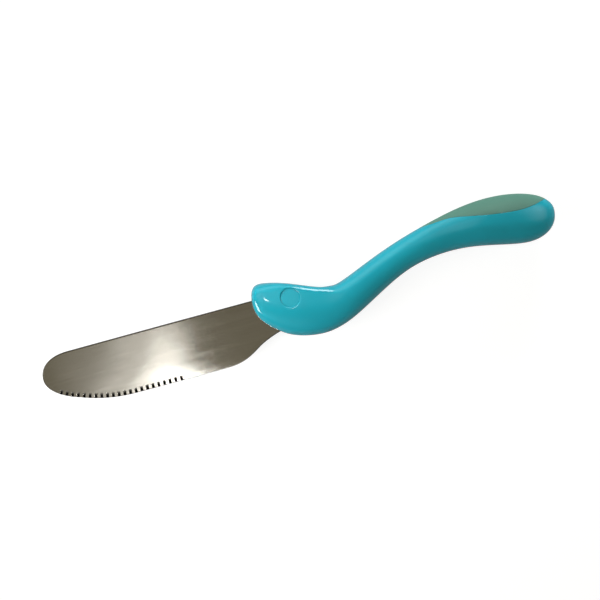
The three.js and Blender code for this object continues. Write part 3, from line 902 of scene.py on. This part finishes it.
class TABLEKNIFE_OT_pad(bpy.types.Operator):
    """Add the soft grip pad that lies flush in the top of the palm rest"""

    bl_idname = "table_knife.add_pad"
    bl_label = "Grip pad"

    def execute(self, context):
        settings = context.scene.table_knife.handle
        thickness = settings.pad_thickness / MM
        stations = np.linspace(PAD_FROM_STATION, LAST_STATION, 1601)[:-1]
        covered = [s for s in stations if pad_angle(FORM.section(s)) > PAD_LEAST_ANGLE]
        low, high = covered[0], covered[-1]
        rings = []
        for share in (1 - np.cos(np.linspace(0, math.pi, PAD_RINGS))) / 2:
            section = FORM.section(low + (high - low) * share)
            radius = 0.5 * (section[2] + section[3])
            edge = max(pad_angle(section) - PAD_GAP / radius, 0.01)
            fine = np.minimum(RIM_REACH / radius, edge * np.array([0, 0.1, 0.2, 0.3]))
            middle = np.linspace(-edge + fine[-1], edge - fine[-1], PAD_POINTS)
            under = np.linspace(edge, -edge, PAD_UNDER_POINTS)
            angles = np.concatenate([-edge + fine[:-1], middle, edge - fine[-2::-1], under])
            insets = np.concatenate([
                PAD_RIM, np.zeros(len(middle)), PAD_RIM[::-1], np.full(len(under), thickness)])
            rings.append(FORM.points_at(section, angles, insets))
        place(tube(rings, "soft_grip_pad"), soft_grip(settings.pad), "soft_grip", "grip_pad")
        return {"FINISHED"}


# Point of the knife in the middle of the picture, and the camera's lens
PICTURE_MIDDLE = (15.98, -4.14, 0)
SENSOR_WIDTH = 36
LENS = 80

# Floor in metres: radius of its flat part, radius of the sweep round it, height of the wall, gap under the knife,
# and the share of its glow that gloss shows
FLOOR_RADIUS = 2.4
SWEEP_RADIUS = 0.6
WALL_HEIGHT = 1.3
FLOOR_GAP = 0.0002
FLOOR_SIDES = 96
MIRRORED_SHARE = 0.2

# Lamps that stand higher than this share of their distance, and don't fade, look straight down
OVERHEAD_SHARE = 0.85

# Light panels, in millimetres: name, place to the right, up in the picture and over the knife, width and length,
# roll in degrees, brightness, whether they light surfaces softly, show as gloss or show as a sheen that fades
# to its edges, and the pieces they are turned to
PANELS = (
    ("near_light", (-88, -28, 85), (100, 100), 0, 5.5, "soft", "all"),
    ("top_light", (34, 620, 140), (400, 160), 0, 17.9, "soft", "all"),
    ("fill_light", (291, 35, 73), (200, 200), 0, 1.6, "soft", "all"),
    ("edge_light", (-365, -296, 171), (261, 110), -54, 18.0, "gloss", "handle"),
    ("crest_light", (70, 329, 314), (70, 290), 18, 16.0, "gloss", "handle"),
    ("streak_lamp", (-65, -66, 500), (38, 19), -24, 30.0, "gloss", "handle"),
    ("sheen_top", (-196, 603, 296), (1400, 1400), 0, 1.8, "sheen", "handle"),
    ("sheen_right", (429, 247, 495), (840, 840), 0, 2.2, "sheen", "handle"),
    ("sheen_front", (-170, 15, 500), (515, 515), 0, 1.9, "sheen", "handle"),
    ("sheen_low", (-242, -519, 401), (770, 770), 0, 0.6, "sheen", "handle"),
    ("wedge_lamp", (-72, -108, 500), (45, 8), -43, 28.0, "gloss", "blade"),
    ("wash_near", (-99.6, -81.8, 500), (26.3, 120), -7.2, 1.85, "gloss", "blade"),
    ("wash_middle", (-130.2, -71.2, 500), (21.4, 116.7), -8, 0.66, "gloss", "blade"),
    ("wash_far", (-136.4, -79.7, 500), (37, 96.8), 34.4, 0.18, "gloss", "blade"),
    ("wall_front", (0, -820, 574), (2400, 1000), 0, 0.7, "sheen", "blade"),
    ("wall_back", (0, 820, 574), (2400, 1000), 0, 0.7, "sheen", "blade"),
    ("wall_left", (-820, 0, 574), (2400, 1000), 0, 0.7, "sheen", "blade"),
    ("wall_right", (820, 0, 574), (2400, 1000), 0, 0.7, "sheen", "blade"),
)
LIT_PIECES = {
    "blade": ("steel_blade",),
    "handle": ("handle_left", "handle_right", "plug_left", "plug_right", "soft_grip_pad"),
}


class TABLEKNIFE_OT_stage(bpy.types.Operator):
    """Add the floor, the lights and the camera"""

    bl_idname = "table_knife.add_stage"
    bl_label = "Stage"

    def execute(self, context):
        scene = context.scene
        settings = scene.table_knife.stage
        scene.view_settings.view_transform = "Standard"
        turn = settings.camera_turn
        right = Vector((math.cos(turn), -math.sin(turn), 0))
        up = Vector((math.sin(turn), math.cos(turn), 0))
        aim = to_part(PICTURE_MIDDLE)
        self.floor(scene, settings)
        self.world(scene, settings)
        groups = {"all": None}
        for group, names in LIT_PIECES.items():
            groups[group] = bpy.data.collections.new(f"lit_{group}")
            for name in names:
                groups[group].objects.link(bpy.data.objects[name])
        for name, spot, size, roll, glow, use, lit in PANELS:
            towards = right * spot[0] + up * spot[1] + Vector((0, 0, spot[2]))
            lamp = self.panel(
                scene, name, aim, towards * MM, size, math.radians(roll), glow, turn, use == "sheen")
            lamp.visible_camera = False
            lamp.visible_diffuse = use == "soft"
            lamp.visible_glossy = use != "soft"
            lamp.light_linking.receiver_collection = groups[lit]
        self.camera(scene, settings, aim)
        return {"FINISHED"}

    @staticmethod
    def floor(scene, settings):
        """Round floor that sweeps up into a low wall; seen as white and mirrored dimmer, it still takes shadows."""
        low = CAD_BOX[0].z - FLOOR_GAP
        profile = [(0.0, 0.0), (0.5, 0.0), (1.5, 0.0), (FLOOR_RADIUS, 0.0)]
        profile += [(FLOOR_RADIUS + SWEEP_RADIUS * math.sin(a), SWEEP_RADIUS - SWEEP_RADIUS * math.cos(a))
                    for a in np.linspace(0.1, math.pi / 2, 12)]
        profile.append((FLOOR_RADIUS + SWEEP_RADIUS, WALL_HEIGHT))
        sides = FLOOR_SIDES
        vertices = [(0, 0, low)]
        for reach, height in profile[1:]:
            vertices += [(reach * math.cos(2 * math.pi * k / sides), reach * math.sin(2 * math.pi * k / sides),
                          low + height) for k in range(sides)]
        faces = [(0, 1 + k, 1 + (k + 1) % sides) for k in range(sides)]
        for r in range(len(profile) - 2):
            a, b = 1 + r * sides, 1 + (r + 1) * sides
            faces += [(a + k, b + k, b + (k + 1) % sides, a + (k + 1) % sides) for k in range(sides)]
        mesh = bpy.data.meshes.new("floor")
        mesh.from_pydata(vertices, [], faces)
        mesh.polygons.foreach_set("use_smooth", [True] * len(mesh.polygons))
        floor = bpy.data.objects.new("floor", mesh)
        scene.collection.objects.link(floor)
        material = bpy.data.materials.new("pale_floor")
        material.use_nodes = True
        tree = material.node_tree
        tree.nodes.clear()
        output = tree.nodes.new("ShaderNodeOutputMaterial")
        diffuse = node(tree, "ShaderNodeBsdfDiffuse", Color=(*settings.floor, 1))
        glow = node(tree, "ShaderNodeEmission", Color=(1, 1, 1, 1))
        path = tree.nodes.new("ShaderNodeLightPath").outputs
        mirrored = maths(tree, "MAXIMUM", path["Is Glossy Ray"], path["Is Transmission Ray"])
        seen = maths(tree, "MULTIPLY_ADD", mirrored, MIRRORED_SHARE, path["Is Camera Ray"])
        tree.links.new(maths(tree, "MULTIPLY", seen, settings.floor_glow), glow.inputs["Strength"])
        both = tree.nodes.new("ShaderNodeAddShader")
        tree.links.new(diffuse.outputs[0], both.inputs[0])
        tree.links.new(glow.outputs[0], both.inputs[1])
        tree.links.new(both.outputs[0], output.inputs[0])
        mesh.materials.append(material)

    @staticmethod
    def world(scene, settings):
        """Dim, even room round the stage."""
        world = bpy.data.worlds.new("studio")
        world.use_nodes = True
        background = world.node_tree.nodes["Background"]
        background.inputs["Color"].default_value = (*settings.room, 1)
        background.inputs["Strength"].default_value = 1.0
        scene.world = world

    @staticmethod
    def panel(scene, name, aim, towards, size, roll, glow, turn, fades):
        """Light panel with a given brightness, which faces the knife or, high over it, looks straight down."""
        width, length = size[0] * MM, size[1] * MM
        light = bpy.data.lights.new(name, "AREA")
        light.shape = "RECTANGLE"
        light.size = width
        light.size_y = length
        light.energy = glow * math.pi * width * length
        if fades:
            reach = max(width, length) / 2 / towards.length
            light.spread = 2 * math.atan(reach)
            light.energy *= 1 - math.atan(reach) / reach
        lamp = bpy.data.objects.new(name, light)
        lamp.location = aim + towards
        if towards.z > OVERHEAD_SHARE * towards.length and not fades:
            lamp.rotation_euler = (0, 0, roll - turn)
        else:
            facing = (-towards).to_track_quat("-Z", "Y")
            lamp.rotation_euler = (facing @ Quaternion((0, 0, 1), roll)).to_euler()
        scene.collection.objects.link(lamp)
        return lamp

    @staticmethod
    def camera(scene, settings, aim):
        """Camera straight over the knife, at the distance that gives the picture its width."""
        data = bpy.data.cameras.new("camera")
        data.sensor_width = SENSOR_WIDTH
        data.lens = LENS
        camera = bpy.data.objects.new("camera", data)
        height = settings.picture_width * data.lens / data.sensor_width
        camera.location = aim + Vector((0, 0, height))
        camera.rotation_euler = (0, 0, -settings.camera_turn)
        scene.collection.objects.link(camera)
        scene.camera = camera


class TABLEKNIFE_PT_panel(bpy.types.Panel):
    """Lists the knife's pieces and settings"""

    bl_idname = "TABLEKNIFE_PT_panel"
    bl_label = "Table knife"
    bl_space_type = "VIEW_3D"
    bl_region_type = "UI"
    bl_category = "Knife"

    def draw(self, context):
        knife = context.scene.table_knife
        for settings in (knife.blade, knife.handle, knife.stage):
            box = self.layout.box()
            for name in settings.__annotations__:
                box.prop(settings, name)
        for operator in OPERATORS:
            self.layout.operator(operator.bl_idname)


OPERATORS = (
    TABLEKNIFE_OT_blade,
    TABLEKNIFE_OT_handle,
    TABLEKNIFE_OT_plugs,
    TABLEKNIFE_OT_pad,
    TABLEKNIFE_OT_stage,
)
CLASSES = (BladeSettings, HandleSettings, StageSettings, KnifeSettings, *OPERATORS, TABLEKNIFE_PT_panel)


def register():
    for made in CLASSES:
        bpy.utils.register_class(made)
    bpy.types.Scene.table_knife = bpy.props.PointerProperty(type=KnifeSettings)


def unregister():
    del bpy.types.Scene.table_knife
    for made in reversed(CLASSES):
        bpy.utils.unregister_class(made)


def main():
    register()
    for operator in OPERATORS:
        group, name = operator.bl_idname.split(".")
        getattr(getattr(bpy.ops, group), name)()


if __name__ == "__main__":
    main()
